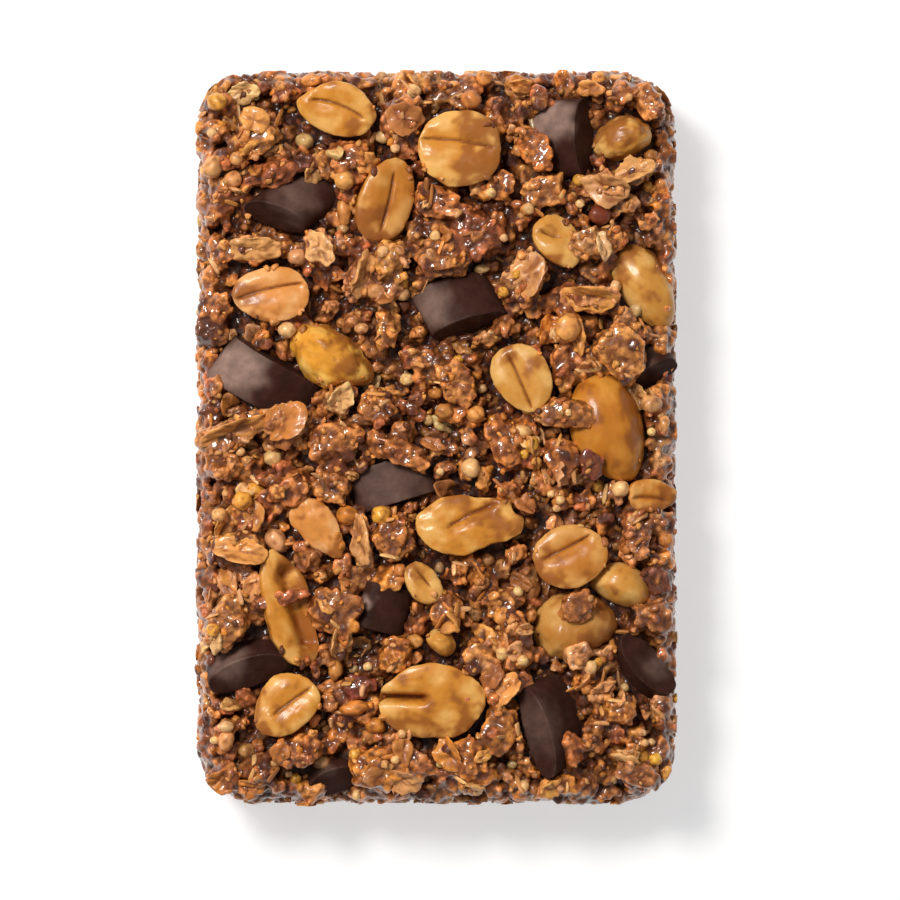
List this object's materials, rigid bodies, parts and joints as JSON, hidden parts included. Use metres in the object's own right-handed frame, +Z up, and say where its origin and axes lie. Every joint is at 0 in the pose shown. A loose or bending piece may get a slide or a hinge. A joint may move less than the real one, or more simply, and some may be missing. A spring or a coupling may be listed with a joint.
{
  "type": "granola bar",
  "caption": "Pressed rectangular granola bar with glazed crisps and oats, peanut halves and dark chocolate chunks set in its top.",
  "frame": {"origin": "middle of the flat underside, on the surface that the bar lies on", "axes": "+X across the bar, +Y along the bar's length, +Z up through its thickness"},
  "size_m": [0.0581, 0.0877, 0.0175],
  "materials": {
    "granola": "toasted crisps, oats and small grains bound with glossy dark syrup",
    "peanut": "roasted peanut, thinly glazed",
    "chocolate": "dark chocolate, semi-matte"
  },
  "bodies": {
    "root": {"granola_mass": "granola", "peanut_half_01": "peanut", "peanut_half_02": "peanut", "peanut_half_03": "peanut", "peanut_half_04": "peanut", "peanut_half_05": "peanut", "peanut_half_06": "peanut", "peanut_half_07": "peanut", "peanut_half_08": "peanut", "peanut_half_09": "peanut", "peanut_half_10": "peanut", "peanut_half_11": "peanut", "peanut_half_12": "peanut", "peanut_half_13": "peanut", "peanut_half_14": "peanut", "peanut_half_15": "peanut", "peanut_half_16": "peanut", "peanut_half_17": "peanut", "peanut_half_18": "peanut", "peanut_half_19": "peanut", "peanut_half_20": "peanut", "peanut_half_21": "peanut", "chocolate_chunk_01": "chocolate", "chocolate_chunk_02": "chocolate", "chocolate_chunk_03": "chocolate", "chocolate_chunk_04": "chocolate", "chocolate_chunk_05": "chocolate", "chocolate_chunk_06": "chocolate", "chocolate_chunk_07": "chocolate", "chocolate_chunk_08": "chocolate", "chocolate_chunk_09": "chocolate", "chocolate_chunk_10": "chocolate", "chocolate_chunk_11": "chocolate"}
  },
  "joints": []
}
